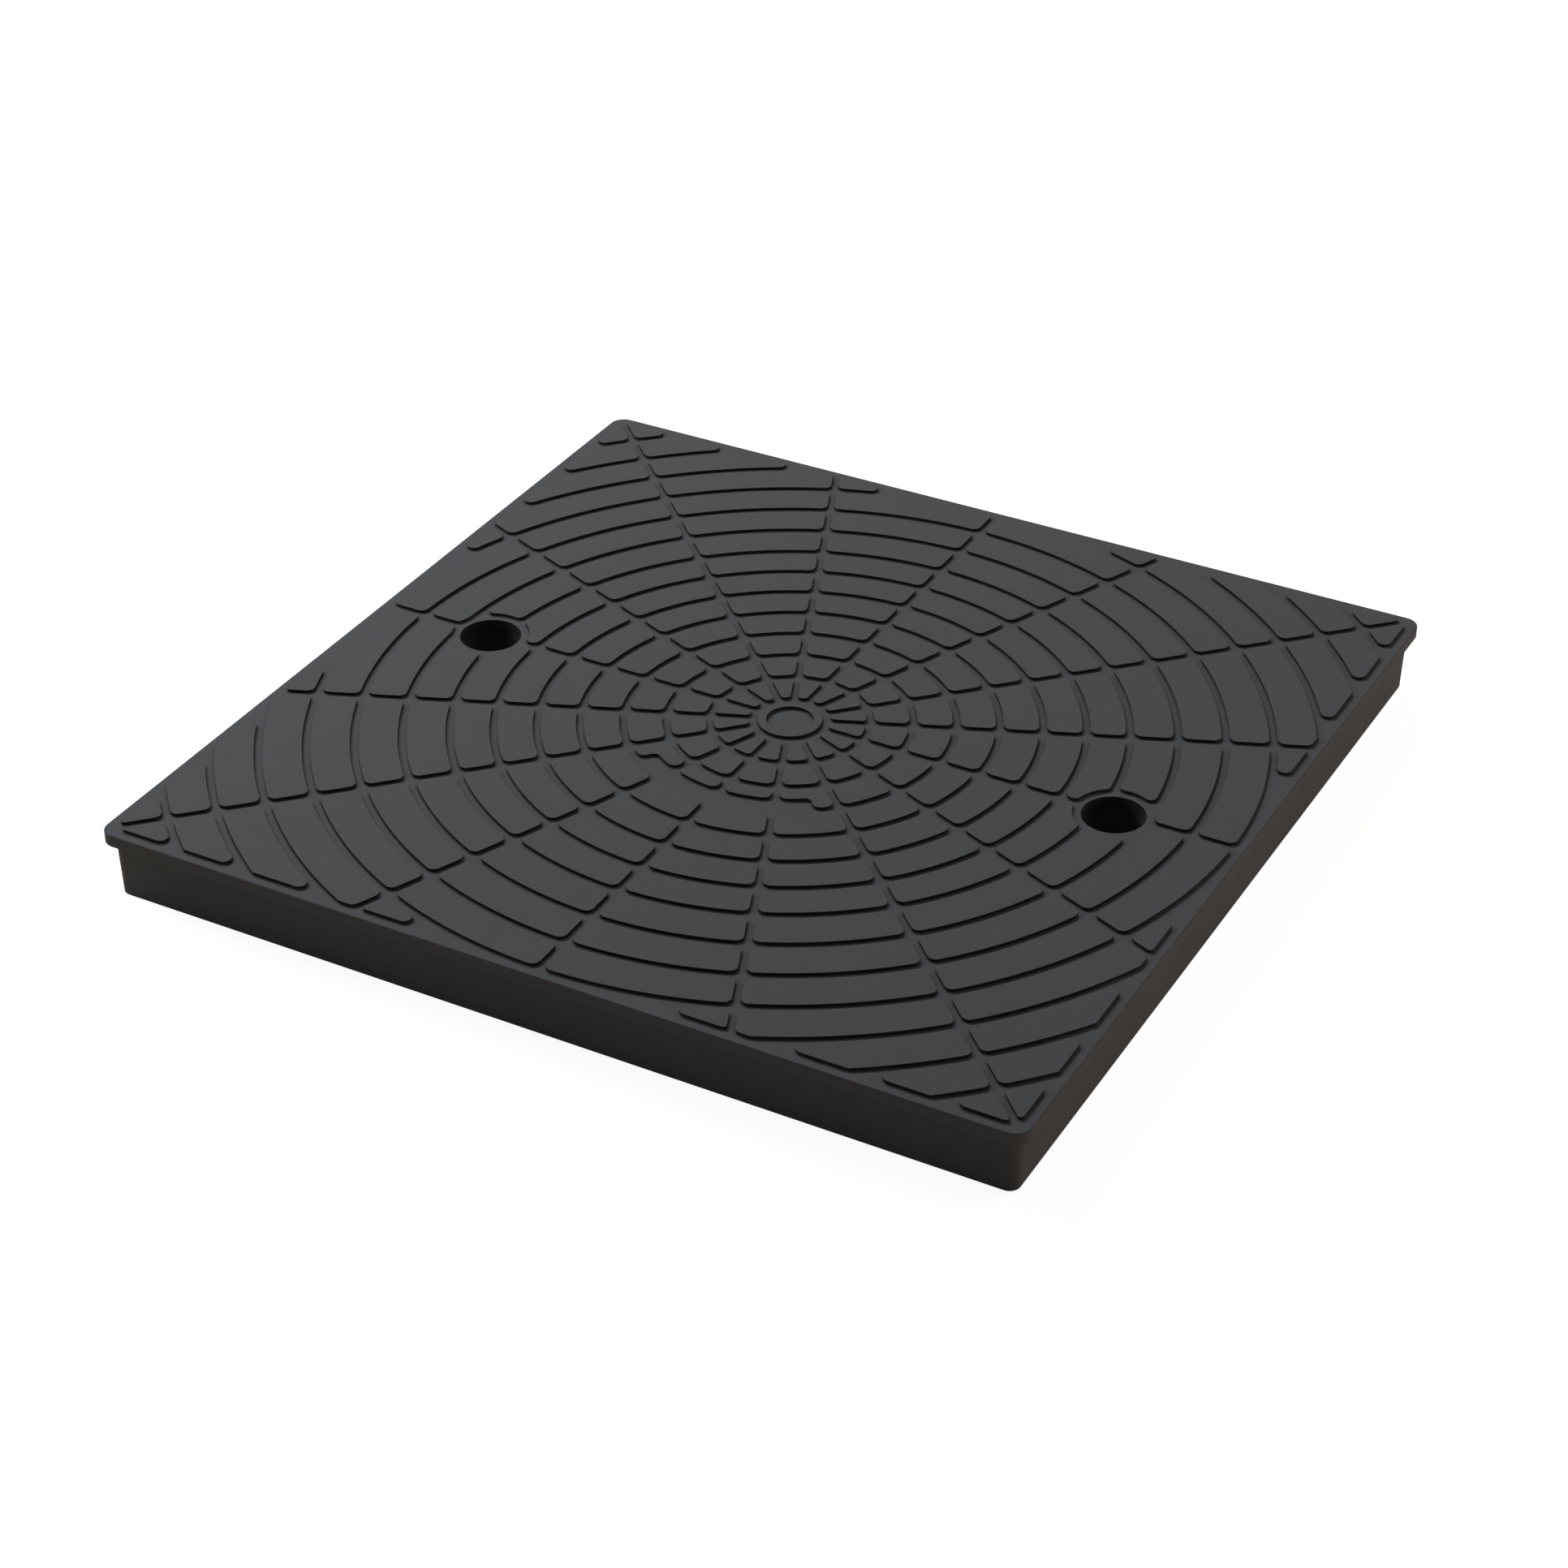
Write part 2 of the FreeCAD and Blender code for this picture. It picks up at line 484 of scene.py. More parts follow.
def faces_from(name, outlines, height):
    """Object with one flat face for each outline, facing up."""
    places = []
    faces = []
    for points in outlines:
        faces.append(range(len(places), len(places) + len(points)))
        places += [(p.real * MM, p.imag * MM, height * MM) for p in points]
    mesh = bpy.data.meshes.new(name)
    mesh.from_pydata(places, [], [list(face) for face in faces])
    piece = bpy.data.objects.new(name, mesh)
    bpy.context.collection.objects.link(piece)
    return piece


drawn = [tile_outline(number, sector) for number in range(len(rings)) for sector in range(SPOKES)]
tiles = faces_from("tiles", filter(None, drawn), LID_TOP)
print(len(tiles.data.polygons), "tiles,", len(tiles.data.vertices), "points on their outlines")

# %% [markdown]
# ## One object at a time
#
# Blender's operators act on whatever is selected, so the first helper leaves exactly one object
# selected. The others go into edit mode on it and out again.

# %% Helpers for selecting
def only(piece):
    """Select one object and nothing else."""
    bpy.ops.object.select_all(action="DESELECT")
    piece.select_set(True)
    bpy.context.view_layer.objects.active = piece


def edit(piece):
    """Go into edit mode on one object, with all of it selected."""
    only(piece)
    bpy.ops.object.mode_set(mode="EDIT")
    bpy.ops.mesh.select_all(action="SELECT")


def done():
    """Go back to object mode."""
    bpy.ops.object.mode_set(mode="OBJECT")


only(tiles)
print("selected:", [piece.name for piece in bpy.context.selected_objects])

# %% [markdown]
# ## Profiles as steps
#
# A moulded edge is never sharp. Seen in section, each wall here is a row of small steps: a rounding
# that rises from the flat, the wall with a little draft, and a rounding that turns back to the flat.
# One inset with a depth makes one such step on every selected face, so a list of steps is a profile.

# %% Helpers for profiles
FINE = 2
SMOOTH = 3


def rise(radius, count):
    """Steps inward and up along a quarter circle that starts flat and ends upright."""
    turns = [math.pi / 2 * i / count for i in range(count + 1)]
    places = [(radius * math.sin(t), radius * (1 - math.cos(t))) for t in turns]
    return [(b[0] - a[0], b[1] - a[1]) for a, b in zip(places, places[1:])]


def crest(radius, count):
    """Steps inward and up along a quarter circle that starts upright and ends flat."""
    return rise(radius, count)[::-1]


def inset_steps(steps):
    """Inset every selected face by each step in turn, all in millimetres."""
    for inward, up in steps:
        bpy.ops.mesh.inset(thickness=inward * MM, depth=up * MM, use_individual=True)


def height_of(steps):
    """How far a row of steps goes up."""
    return sum(up for inward, up in steps)


print("a rounding of 1 mm in smooth steps goes up by", round(height_of(rise(1.0, SMOOTH)), DIGITS), "mm")

# %% [markdown]
# ## Raising the tiles
#
# All tiles rise together. Each inset narrows and lifts every face by one step of the profile: a flat
# band round the foot, a tiny rounding, the wall, and the rounded upper edge. On the way, each new ring
# of points is marked with how deep it lies in the corner between wall and lid. Light hardly reaches
# that corner, and the finish paints shade there by the mark: the foot band, the wall and the lower
# step of the upper rounding are painted darker than the flats.

# %% Raise the tiles
# Values of painted shade that the finish darkens the colour by: none on the flats, darkest at the tiles'
# foot and wall.
PAINTED_SHADE = "crevice"
OPEN = 0.0
OUTSIDE_FOOT = 0.03
AT_FOOT = 0.42
DEEPEST = 1.0
AT_EDGE = 0.7


def mark(piece, value):
    """Write a value of painted shade, from 0 for none to 1 for the darkest, into the selected points."""
    mesh = bmesh.from_edit_mesh(piece.data)
    layer = mesh.verts.layers.float.get(PAINTED_SHADE) or mesh.verts.layers.float.new(PAINTED_SHADE)
    for vert in mesh.verts:
        if vert.select:
            vert[layer] = value
    bmesh.update_edit_mesh(piece.data)


foot = rise(FOOT_ROUNDING, FINE)
crown = crest(TOP_ROUNDING, FINE)
wall_height = TILE_HEIGHT - height_of(foot) - height_of(crown)
tile_profile = [
    ([(FOOT_BAND[0], 0.0)], OUTSIDE_FOOT),
    ([(FOOT_BAND[1], 0.0)], AT_FOOT),
    (foot, DEEPEST),
    ([(WALL_DRAFT, wall_height)], DEEPEST),
    (crown[:1], AT_EDGE),
    (crown[1:], OPEN),
]

edit(tiles)
mark(tiles, OPEN)
for steps, value in tile_profile:
    inset_steps(steps)
    mark(tiles, value)
done()
print("tiles now reach", round(max(v.co.z for v in tiles.data.vertices) / MM, 3), "mm")

# %% [markdown]
# ## Turned shapes
#
# The centre ring, and the bores of the lifting holes, are turned shapes. Spin could make them, but here
# each one starts as an open circle, and its edge is pulled along a list of stations, each one a radius,
# a height and a mark of painted shade. That leaves no seam to close.

# %% Helpers for turned shapes
def walk(stations, steps, value):
    """Add stations, reached from the last one by steps of radius and height."""
    radius, height, _ = stations[-1]
    for across, up in steps:
        radius += across
        height += up
        stations.append((radius, height, value))


def turned(name, stations, segments, place=0.0):
    """Turned surface through stations of radius, height and painted-shade mark, about a point on the Y axis.
    """
    radius, height, value = stations[0]
    centre = Vector((0.0, place * MM, 0.0))
    bpy.ops.mesh.primitive_circle_add(
        vertices=segments, radius=radius * MM, fill_type="NOTHING",
        location=(0.0, place * MM, height * MM))
    piece = bpy.context.object
    piece.name = name
    bpy.ops.object.transform_apply(location=True, rotation=True, scale=True)
    edit(piece)
    mark(piece, value)
    for next_radius, next_height, value in stations[1:]:
        rise_by = (next_height - height) * MM
        bpy.ops.mesh.extrude_edges_move(TRANSFORM_OT_translate={"value": (0, 0, rise_by)})
        factor = next_radius / radius
        bpy.ops.transform.resize(value=(factor, factor, 1.0), center_override=centre)
        mark(piece, value)
        radius = next_radius
        height = next_height
    done()
    return piece


foot_stations = [(1.0, 0.0, OPEN)]
walk(foot_stations, rise(1.0, SMOOTH), DEEPEST)
print("a walk up a rounding of 1 mm ends at", [round(x, DIGITS) for x in foot_stations[-1]])

# %% [markdown]
# ## The centre ring
#
# The ring is as high as the tiles and has the same wall on both sides. Its stations go in and up along
# the tiles' profile, across the flat top, and down the same profile backwards into the round recess.

# %% Turn the centre ring
RING_OUTER = 22.0
RING_BORE = 16.5
RING_SEGMENTS = 96

# The tiles' profile brings its painted shade along, so the ring's walls and foot are painted darker too.
ring_stations = [(RING_OUTER + GROWTH, LID_TOP, OPEN)]
for steps, value in tile_profile:
    walk(ring_stations, [(-inward, up) for inward, up in steps], value)
ring_stations.append((RING_BORE, LID_TOP + TILE_HEIGHT, OPEN))
marks_before = [OPEN] + [value for _, value in tile_profile[:-1]]
for (steps, _), value in zip(reversed(tile_profile), reversed(marks_before)):
    walk(ring_stations, [(-inward, -up) for inward, up in reversed(steps)], value)
centre_ring = turned("centre_ring", ring_stations, RING_SEGMENTS)
print("centre ring from", RING_OUTER, "to", RING_BORE, "mm in", len(ring_stations), "stations")

# %% [markdown]
# ## The bores of the lifting holes
#
# A lifting hole goes right through the cover and has a small rounding at both ends. The marks paint
# shade on the rounding at the rim and on the upper part of the wall, which is what shows from above,
# and the painted shade fades below it. Each shade is the share of the wall that it takes and the mark
# at its lower end.

# %% Turn the bores
BORE_SEGMENTS = 72
BORE_ROUNDING = 0.3
# Painted shade down the bore's wall: dark just below the rim, fading out lower down.
BORE_PAINTED_SHADES = [(0.1, 0.9), (0.25, 0.1), (0.65, 0.0)]

bore_wall = LID_TOP - 2 * BORE_ROUNDING
bore_stations = [(HOLE_RADIUS + BORE_ROUNDING, LID_TOP, OPEN)]
walk(bore_stations, [(-across, -down) for across, down in rise(BORE_ROUNDING, SMOOTH)], DEEPEST)
for share, value in BORE_PAINTED_SHADES:
    walk(bore_stations, [(0.0, -share * bore_wall)], value)
walk(bore_stations, [(across, -down) for across, down in crest(BORE_ROUNDING, SMOOTH)], OPEN)
bores = [turned("bore", bore_stations, BORE_SEGMENTS, place) for place in (HOLE_OFFSET, -HOLE_OFFSET)]
print("bores of radius", HOLE_RADIUS, "at", HOLE_OFFSET, "and", -HOLE_OFFSET)

# %% [markdown]
# ## Squares with round corners
#
# The lid and the skirt both start as a square plane whose four corners are bevelled round, because its
# one face then takes the same steps as the tiles do. Faces and edges are picked by a rule, such as their
# height, the way a hand would pick them with the mouse.

# %% Helpers for the squares
CORNER_SEGMENTS = 10
LEVEL = 0.99
SAME_HEIGHT = 1e-6


def rounded_square(name, half, corner, height):
    """Flat square with round corners, facing up."""
    bpy.ops.mesh.primitive_plane_add(size=2 * half * MM, location=(0, 0, height * MM))
    piece = bpy.context.object
    piece.name = name
    bpy.ops.object.transform_apply(location=True, rotation=True, scale=True)
    edit(piece)
    bpy.ops.mesh.bevel(offset=corner * MM, segments=CORNER_SEGMENTS, affect="VERTICES")
    done()
    return piece


def pick(piece, kind, rule):
    """Select the faces or the edges that a rule names, and nothing else."""
    bpy.ops.mesh.select_all(action="DESELECT")
    bpy.ops.mesh.select_mode(type=kind)
    mesh = bmesh.from_edit_mesh(piece.data)
    for part in mesh.faces if kind == "FACE" else mesh.edges:
        part.select_set(rule(part))
    bmesh.update_edit_mesh(piece.data)


def level_face(height, up):
    """Rule for a level face at one height, in millimetres, that faces up or down."""
    way = 1 if up else -1

    def rule(face):
        at_height = abs(face.calc_center_median().z - height * MM) < SAME_HEIGHT
        return at_height and face.normal.z * way > LEVEL
    return rule


def drop_face(piece, height, up):
    """Delete a level face but leave its edges open."""
    pick(piece, "FACE", level_face(height, up))
    bpy.ops.mesh.delete(type="ONLY_FACE")


print("a round corner has", CORNER_SEGMENTS, "segments")

# %% [markdown]
# ## The lid
#
# The lid's square is extruded to a slab, and insets round its upper and its lower edge. The two flats
# that are left are deleted, because the pattern and the skirt will fill them.

# %% Shape the lid
LID_CORNER = 11.0
LIP_THICKNESS = 8.7
LIP_ROUNDING = 0.8
LIP_UNDER_ROUNDING = 0.4
LIP_BOTTOM = LID_TOP - LIP_THICKNESS

slab_low = LIP_BOTTOM + LIP_UNDER_ROUNDING
slab_high = LID_TOP - LIP_ROUNDING
lid = rounded_square("lid", LID_SIDE / 2, LID_CORNER, slab_low)
edit(lid)
bpy.ops.mesh.extrude_region_move(
    TRANSFORM_OT_translate={"value": (0, 0, (slab_high - slab_low) * MM)})
bpy.ops.mesh.select_all(action="SELECT")
bpy.ops.mesh.normals_make_consistent(inside=False)
pick(lid, "FACE", level_face(slab_high, True))
inset_steps(crest(LIP_ROUNDING, SMOOTH))
drop_face(lid, LID_TOP, True)
pick(lid, "FACE", level_face(slab_low, False))
inset_steps(crest(LIP_UNDER_ROUNDING, FINE))
drop_face(lid, LIP_BOTTOM, False)
done()
print("lid", len(lid.data.polygons), "faces")

# %% [markdown]
# ## The skirt
#
# The skirt starts as a second, smaller square that faces down. It grows downward by a fillet, a wall
# that leans in by its draft so that the moulding leaves the mould, and a rounded foot.

# %% Shape the skirt
SKIRT_STEP = 5.7
SKIRT_TAPER = 1.3
SKIRT_CORNER = 9.0
SKIRT_FILLET = 0.8
SKIRT_FOOT_ROUNDING = 0.8

skirt_half = LID_SIDE / 2 - SKIRT_STEP
skirt = rounded_square("skirt", skirt_half + SKIRT_FILLET, SKIRT_CORNER + SKIRT_FILLET, LIP_BOTTOM)
skirt_wall = (SKIRT_TAPER, LIP_BOTTOM - SKIRT_FILLET - SKIRT_FOOT_ROUNDING)
edit(skirt)
bpy.ops.mesh.flip_normals()
inset_steps(rise(SKIRT_FILLET, FINE) + [skirt_wall] + crest(SKIRT_FOOT_ROUNDING, SMOOTH))
drop_face(skirt, 0.0, False)
done()
print("skirt", len(skirt.data.polygons), "faces")

# %% [markdown]
# ## The outline of a pocket
#
# The underside is a grid of ribs, which is the same as a grid of pockets cut up into a solid block. The
# pockets beside a lifting hole go round the hole's tube, so their outlines have a hollow arc on that
# side, and tighter corners in the narrow slot that is left there.

# %% Outline one pocket
SKIRT_WALL = 9.0
RIB = 6.0
TUBE_WALL = 7.0
POCKETS_PER_SIDE = 9
POCKET_CORNER = 3.0
SLOT_CORNER = 1.9
MOUTH_ROUNDING = 0.4

inside = LID_SIDE - 2 * (SKIRT_STEP + SKIRT_TAPER + SKIRT_WALL)
pitch = (inside + RIB) / POCKETS_PER_SIDE
pocket_half = (pitch - RIB) / 2 + MOUTH_ROUNDING
tube = HOLE_RADIUS + TUBE_WALL - MOUTH_ROUNDING


def pocket_outline(centre):
    """Rounded square about a centre, trimmed by the tube of the nearest hole."""
    right = centre.real + pocket_half
    left = centre.real - pocket_half
    top = centre.imag + pocket_half
    bottom = centre.imag - pocket_half
    lower_side = Line(complex(0, bottom), 1)
    right_side = Line(complex(right, 0), 1j)
    upper_side = Line(complex(0, top), -1)
    left_side = Line(complex(left, 0), -1j)
    hole = complex(0, math.copysign(HOLE_OFFSET, centre.imag))
    tube_side = Arc(hole, tube, hollow=True)
    lower = [(lower_side, complex(left, bottom))]
    upper = [(upper_side, complex(right, top))]
    radius = POCKET_CORNER
    for flat, level in ((lower, bottom), (upper, top)):
        height = level - hole.imag
        if centre.real == 0 and abs(height) < tube:
            reach = math.sqrt(tube ** 2 - height ** 2)
            way = 1 if flat is lower else -1
            flat.append((tube_side, complex(-way * reach, level)))
            flat.append((flat[0][0], complex(way * reach, level)))
            radius = SLOT_CORNER
    sides = lower + [(right_side, complex(right, bottom))] + upper + [(left_side, complex(left, top))]
    return outline(sides, lambda turn, before, after: radius)


print("pocket mouths", round(2 * pocket_half, 2), "mm wide,", round(pitch, 2), "mm from one to the next")

# %% [markdown]
# ## The pockets between the ribs
#
# All pockets are drawn on the skirt's bottom and deepened together, as the tiles were raised. A pocket
# widens towards its mouth, so that the moulding leaves the mould.

# %% Draw and deepen the pockets
TOP_THICKNESS = 8.0
POCKET_DRAFT = math.radians(1)
CEILING_ROUNDING = 0.6

rows = [(i - (POCKETS_PER_SIDE - 1) / 2) * pitch for i in range(POCKETS_PER_SIDE)]
pockets = faces_from("pockets", [pocket_outline(complex(x, y)) for x in rows for y in rows], 0.0)
wall_rise = LID_TOP - TOP_THICKNESS - MOUTH_ROUNDING - CEILING_ROUNDING
pocket_wall = (wall_rise * math.tan(POCKET_DRAFT), wall_rise)
edit(pockets)
inset_steps(rise(MOUTH_ROUNDING, FINE) + [pocket_wall] + crest(CEILING_ROUNDING, SMOOTH))
done()
print(len(rows) ** 2, "pockets")

# %% [markdown]
# ## One closed skin
#
# The pieces are joined and their open loops closed. A bridge makes the ledge under the lip, and Fill
# closes the flat of the lid and the flat of the skirt's bottom with every tile, bore and pocket left
# open in it.

# %% Join and close the skin
JOIN_DISTANCE = 1e-6


def open_at(height):
    """Rule for the open edges that lie level at one height, in millimetres."""
    def rule(edge):
        level = all(abs(vert.co.z - height * MM) < SAME_HEIGHT for vert in edge.verts)
        return edge.is_boundary and level
    return rule


only(lid)
for piece in [skirt, tiles, centre_ring, pockets] + bores:
    piece.select_set(True)
bpy.ops.object.join()
cover = lid
cover.name = "cover_moulding"
edit(cover)
bpy.ops.mesh.remove_doubles(threshold=JOIN_DISTANCE)
pick(cover, "EDGE", open_at(LIP_BOTTOM))
bpy.ops.mesh.bridge_edge_loops()
for height in (LID_TOP, 0.0):
    pick(cover, "EDGE", open_at(height))
    bpy.ops.mesh.fill(use_beauty=True)
bpy.ops.mesh.select_all(action="SELECT")
bpy.ops.mesh.normals_make_consistent(inside=False)
done()
print("joined as", cover.name, "with", len(cover.data.polygons), "faces")

# %% [markdown]
# A moulding is one solid, so no edge of its skin may stay open. The skin is measured without a change.

# %% Measure the skin
LITRES = 1000

skin = bmesh.new()
skin.from_mesh(cover.data)
open_edges = sum(not edge.is_manifold for edge in skin.edges)
volume = skin.calc_volume() * LITRES
triangles = sum(len(face.verts) - 2 for face in skin.faces)
skin.free()
print("open edges", open_edges, "volume", round(volume, 3), "litres,", triangles, "triangles")

# %% [markdown]
# ## Shading the skin
#
# Smooth shading would bend the light across the large flats, because their edge points share normals
# with the roundings. The Weighted Normal modifier gives each point the normal of its largest face, so
# the flats stay flat and only the narrow roundings shade softly.

# %% Shade the skin
AREA_WEIGHT = 50

edit(cover)
bpy.ops.mesh.faces_shade_smooth()
done()
weigh = cover.modifiers.new("weigh", "WEIGHTED_NORMAL")
weigh.mode = "FACE_AREA"
weigh.weight = AREA_WEIGHT
bpy.ops.object.modifier_apply(modifier=weigh.name)
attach(cover, "root")
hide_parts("cover")
print("cover_moulding stands for the solid")

# %% [markdown]
# ## Shader sums in plain Python
#
# A node tree for a mottled surface is mostly arithmetic. This class wraps a socket, so that an
# expression such as `1 - mask * 0.3` adds the Math nodes by itself. Its one method `node` adds any other
# node, whose sockets are given by their name, or by their number where several have the same name.

# %% A class for shader values
class Value:
    """A socket of a node tree that can be added, subtracted and multiplied."""

    def __init__(self, tree, socket):
        self.tree = tree
        self.socket = socket

    @staticmethod
    def node(tree, kind, settings=None, inputs=None, output=0):
        """Any node: its settings first, and then the values or links of its inputs."""
        made = tree.nodes.new(kind)
        for name, setting in (settings or {}).items():
            setattr(made, name, setting)
        for place, given in (inputs or {}).items():
            if isinstance(given, Value):
                tree.links.new(given.socket, made.inputs[place])
            else:
                made.inputs[place].default_value = given
        return Value(tree, made.outputs[output])

    def math(self, operation, first, second):
        """A Math node on two values."""
        return self.node(self.tree, "ShaderNodeMath", {"operation": operation}, {0: first, 1: second})

    def __add__(self, other):
        return self.math("ADD", self, other)

    def __radd__(self, other):
        return self.math("ADD", other, self)

    def __mul__(self, other):
        return self.math("MULTIPLY", self, other)

    def __rmul__(self, other):
        return self.math("MULTIPLY", other, self)

    def __sub__(self, other):
        return self.math("SUBTRACT", self, other)

    def __rsub__(self, other):
        return self.math("SUBTRACT", other, self)

    def spread(self, span, low, high):
        """Stretch a span of this value onto a range, and hold it at both ends."""
        inputs = {0: self, 1: span[0], 2: span[1], 3: low, 4: high}
        return self.node(self.tree, "ShaderNodeMapRange", {"clamp": True}, inputs)

    def around(self, span, middle, reach):
        """Stretch a span of this value onto a range about a middle."""
        return self.spread(span, middle - reach, middle + reach)


print("reflected operators:", [name for name in vars(Value) if name.startswith("__r")])

# %% [markdown]
# ## The finish of the moulding
#
# Glass-fibre moulding compound comes out of the mould dull and dark grey. From close by it has a fine
# grain, it is mottled where the compound flowed, and its roughness wanders a little. None of this is
# strong: from a step away it reads as one even grey. Shade is painted into the colour by the marks on
# the mesh: the corners between tiles and lid and the upper walls of the bores are darker. Patterns
# follow the Object coordinates, so they stay at their real scale.

# %% Mix the finish
COMPOSITE = (0.0650, 0.0667, 0.0713)
# How much the painted shade darkens the colour where its mark is 1.
PAINTED_SHADE_STRENGTH = 0.75
FLOW_MOTTLE = 0.02
CLOUD_MOTTLE = 0.015
GRAIN_MOTTLE = 0.04
ROUGHNESS = 0.78
FLOW_ROUGHNESS = 0.04
PIT_ROUGHNESS = 0.03
SHINE = 0.05
GRAIN_RELIEF = 0.4
PIT_RELIEF = 0.6
RELIEF_STRENGTH = 0.25
RELIEF_DEPTH = 0.00006
USUAL = (0.3, 0.7)
WIDER = (0.25, 0.75)


def mould_finish():
    """Dull dark grey moulding compound with a fine grain."""
    material = bpy.data.materials.new("moulded_composite")
    material.use_nodes = True
    tree = material.node_tree
    shader = tree.nodes["Principled BSDF"]
    place = Value.node(tree, "ShaderNodeTexCoord", output="Object")

    def noise(scale, detail, roughness):
        inputs = {"Vector": place, "Scale": scale, "Detail": detail, "Roughness": roughness}
        return Value.node(tree, "ShaderNodeTexNoise", inputs=inputs)

    grain = noise(scale=2600.0, detail=2.0, roughness=0.5)
    pits = noise(scale=900.0, detail=3.0, roughness=0.6)
    flow = noise(scale=16.0, detail=4.0, roughness=0.55)
    cloud = noise(scale=90.0, detail=3.0, roughness=0.5)
    crevice = Value.node(tree, "ShaderNodeAttribute", {"attribute_name": PAINTED_SHADE}, output="Fac")

    shade = flow.around(USUAL, 1.0, FLOW_MOTTLE) * cloud.around(USUAL, 1.0, CLOUD_MOTTLE)
    shade = shade * grain.around(WIDER, 1.0, GRAIN_MOTTLE)
    # Painted shade: where the mesh is marked, at the tiles' foot and wall and in the bores, the colour is
    # darkened.
    shade = shade * (1 - crevice * PAINTED_SHADE_STRENGTH)
    grey = Value.node(tree, "ShaderNodeCombineXYZ", inputs={"X": shade, "Y": shade, "Z": shade})
    tinted = Value.node(tree, "ShaderNodeVectorMath", {"operation": "MULTIPLY"}, {0: grey, 1: COMPOSITE})
    tree.links.new(tinted.socket, shader.inputs["Base Color"])

    rough = flow.around(USUAL, ROUGHNESS, FLOW_ROUGHNESS) + pits.around(USUAL, 0.0, PIT_ROUGHNESS)
    tree.links.new(rough.socket, shader.inputs["Roughness"])
    shader.inputs["Specular IOR Level"].default_value = SHINE

    height = grain * GRAIN_RELIEF + pits * PIT_RELIEF
    inputs = {"Strength": RELIEF_STRENGTH, "Distance": RELIEF_DEPTH, "Height": height}
    bump = Value.node(tree, "ShaderNodeBump", inputs=inputs)
    tree.links.new(bump.socket, shader.inputs["Normal"])
    return material


cover.data.materials.clear()
cover.data.materials.append(mould_finish())
print("finish", cover.data.materials[0].name)

# %% [markdown]
# ## The floor
#
# The floor is a plain pale sheet, a hair below the cover. The camera sees it as a light grey that also
# glows, which makes the background white without putting more light on the cover, and the cover's soft
# shadow stays on it. All other light meets a warm pale floor, which throws it back at the skirt.

# %% Lay the floor
FLOOR_COLOUR = (0.70, 0.58, 0.455, 1.0)
SHOWN_COLOUR = (0.3, 0.3, 0.3, 1.0)
WHITE = (1.0, 1.0, 1.0, 1.0)
FLOOR_GLOW = 0.925
FLOOR_SIDE = 16.0
FLOOR_HEIGHT = -0.0002
SHOWN_RAYS = ("Is Camera Ray", "Is Glossy Ray", "Is Transmission Ray")


def shown(tree):
    """One where a surface is seen, straight or through a mirror or glass, and else nothing."""
    seen, mirrored, through = [Value.node(tree, "ShaderNodeLightPath", output=ray) for ray in SHOWN_RAYS]
    return (seen + mirrored + through).spread((0.0, 1.0), 0.0, 1.0)


def floor_finish():
    """Warm pale sheet that is seen as nearly white."""
    material = bpy.data.materials.new("pale_floor")
    material.use_nodes = True
    tree = material.node_tree
    tree.nodes.remove(tree.nodes["Principled BSDF"])
    warm = Value.node(tree, "ShaderNodeBsdfDiffuse", inputs={"Color": FLOOR_COLOUR})
    pale = Value.node(tree, "ShaderNodeBsdfDiffuse", inputs={"Color": SHOWN_COLOUR})
    glow = Value.node(tree, "ShaderNodeEmission", inputs={"Color": WHITE, "Strength": FLOOR_GLOW})
    white = Value.node(tree, "ShaderNodeAddShader", inputs={0: pale, 1: glow})
    both = Value.node(tree, "ShaderNodeMixShader", inputs={0: shown(tree), 1: warm, 2: white})
    tree.links.new(both.socket, tree.nodes["Material Output"].inputs["Surface"])
    return material


bpy.ops.mesh.primitive_plane_add(size=FLOOR_SIDE, location=(0.0, 0.0, FLOOR_HEIGHT))
floor = bpy.context.object
floor.name = "floor"
floor.data.materials.append(floor_finish())
print("floor", FLOOR_SIDE, "m wide")

# %% [markdown]
# ## The lamps
#
# A raised pattern in one colour can only be read by its shadows. So the main lamp, wide and soft, stands
# high behind the cover and a little to the left, and the walls that face the camera stay dark. Two small
# lamps, behind on the left and on the right, even out the lid. Two long, weak ones close to the floor
# light the two near sides of the skirt, the right one stronger and warmer than the left.

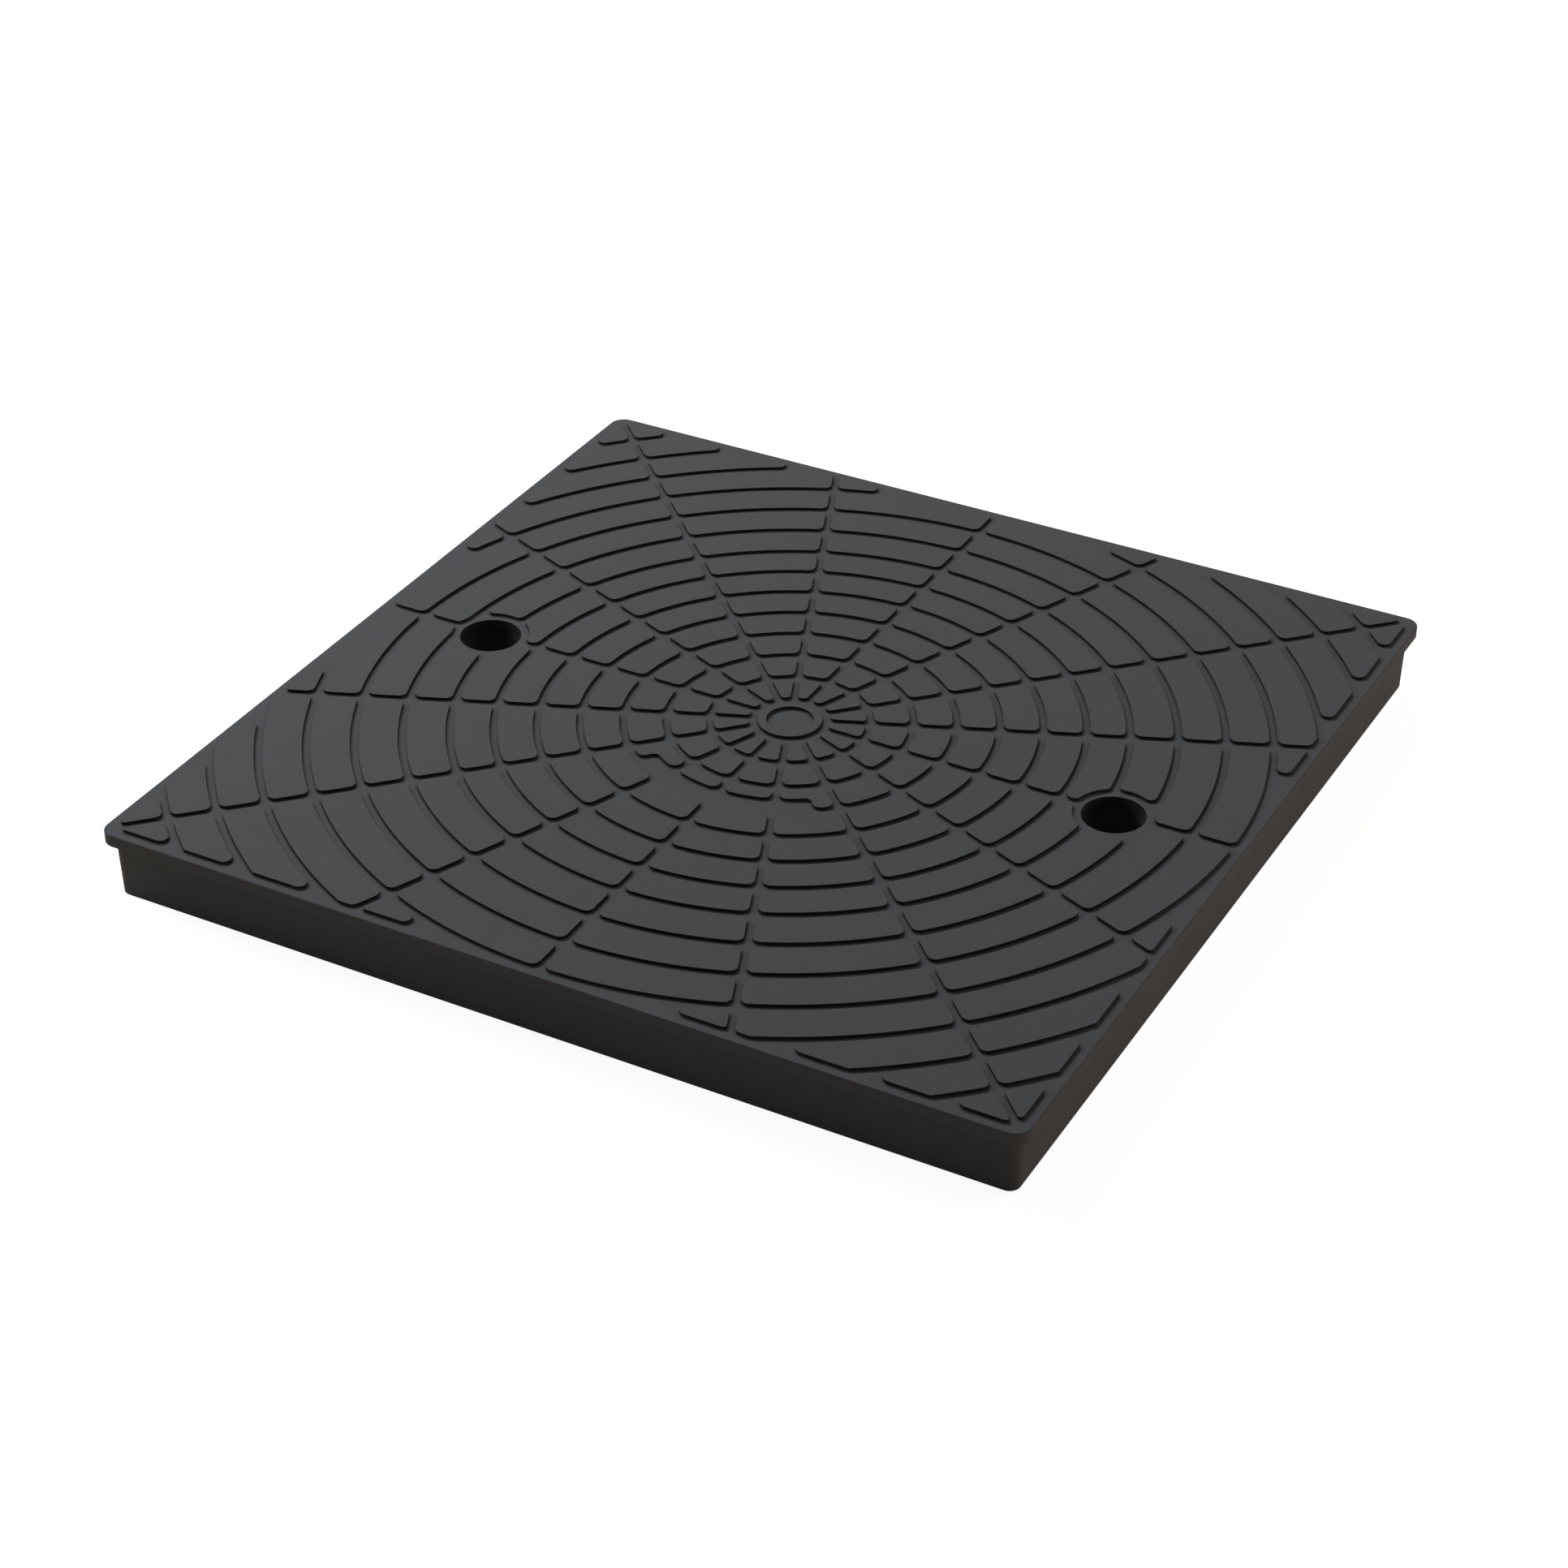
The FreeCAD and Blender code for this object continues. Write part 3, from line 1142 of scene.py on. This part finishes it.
# %% Hang the lamps
COOL = (0.98, 0.99, 1.0)
WARM = (1.0, 0.93, 0.86)
WARMER = (1.0, 0.9, 0.78)
AMBER = (1.0, 0.76, 0.53)
LID_CENTRE = Vector((0.0, 0.0, 0.0))
SKIRT_CENTRE = Vector((0.0, 0.0, 0.02))
BROAD = (3.4, 0.9)
MIDDLING = (0.9, 0.9)
SMALL = (0.5, 0.5)
LONG = (2.0, 0.4)


def lamp(name, place, aim, size, power, colour):
    """Rectangular lamp turned towards its aim, in metres and watts."""
    data = bpy.data.lights.new(name, "AREA")
    data.shape = "RECTANGLE"
    data.size = size[0]
    data.size_y = size[1]
    data.energy = power
    data.color = colour
    made = bpy.data.objects.new(name, data)
    made.location = place
    made.rotation_euler = (aim - Vector(place)).to_track_quat("-Z", "Y").to_euler()
    bpy.context.collection.objects.link(made)


lamp("behind", (2.79, 3.32, 3.44), LID_CENTRE, BROAD, power=264.0, colour=COOL)
lamp("behind_left", (-0.2, 1.3, 0.8), LID_CENTRE, SMALL, power=9.4, colour=COOL)
lamp("right", (1.41, -1.18, 1.75), LID_CENTRE, MIDDLING, power=9.6, colour=WARM)
lamp("low_right", (0.6, -2.5, 0.35), SKIRT_CENTRE, LONG, power=17.8, colour=AMBER)
lamp("low_left", (-2.4, 0.2, 0.35), SKIRT_CENTRE, LONG, power=3.5, colour=WARMER)

# %% [markdown]
# ## The air of the studio
#
# A little even, cool light comes from all round and reaches places that no lamp does. Where the camera
# looks past the floor it sees plain white instead.

# %% Colour the air
WORLD_COLOUR = (0.88, 0.95, 1.0, 1.0)
WORLD_LIGHT = 0.075
FULL = 1.0


def studio_air():
    """World that gives a faint cool light and is seen as white."""
    world = bpy.data.worlds.new("studio")
    world.use_nodes = True
    tree = world.node_tree
    light = Value.node(tree, "ShaderNodeBackground", inputs={"Color": WORLD_COLOUR, "Strength": WORLD_LIGHT})
    white = Value.node(tree, "ShaderNodeBackground", inputs={"Color": WHITE, "Strength": FULL})
    both = Value.node(tree, "ShaderNodeMixShader", inputs={0: shown(tree), 1: light, 2: white})
    tree.links.new(both.socket, tree.nodes["World Output"].inputs["Surface"])
    return world


bpy.context.scene.world = studio_air()
bpy.context.scene.view_settings.view_transform = "Standard"
print("world", bpy.context.scene.world.name)
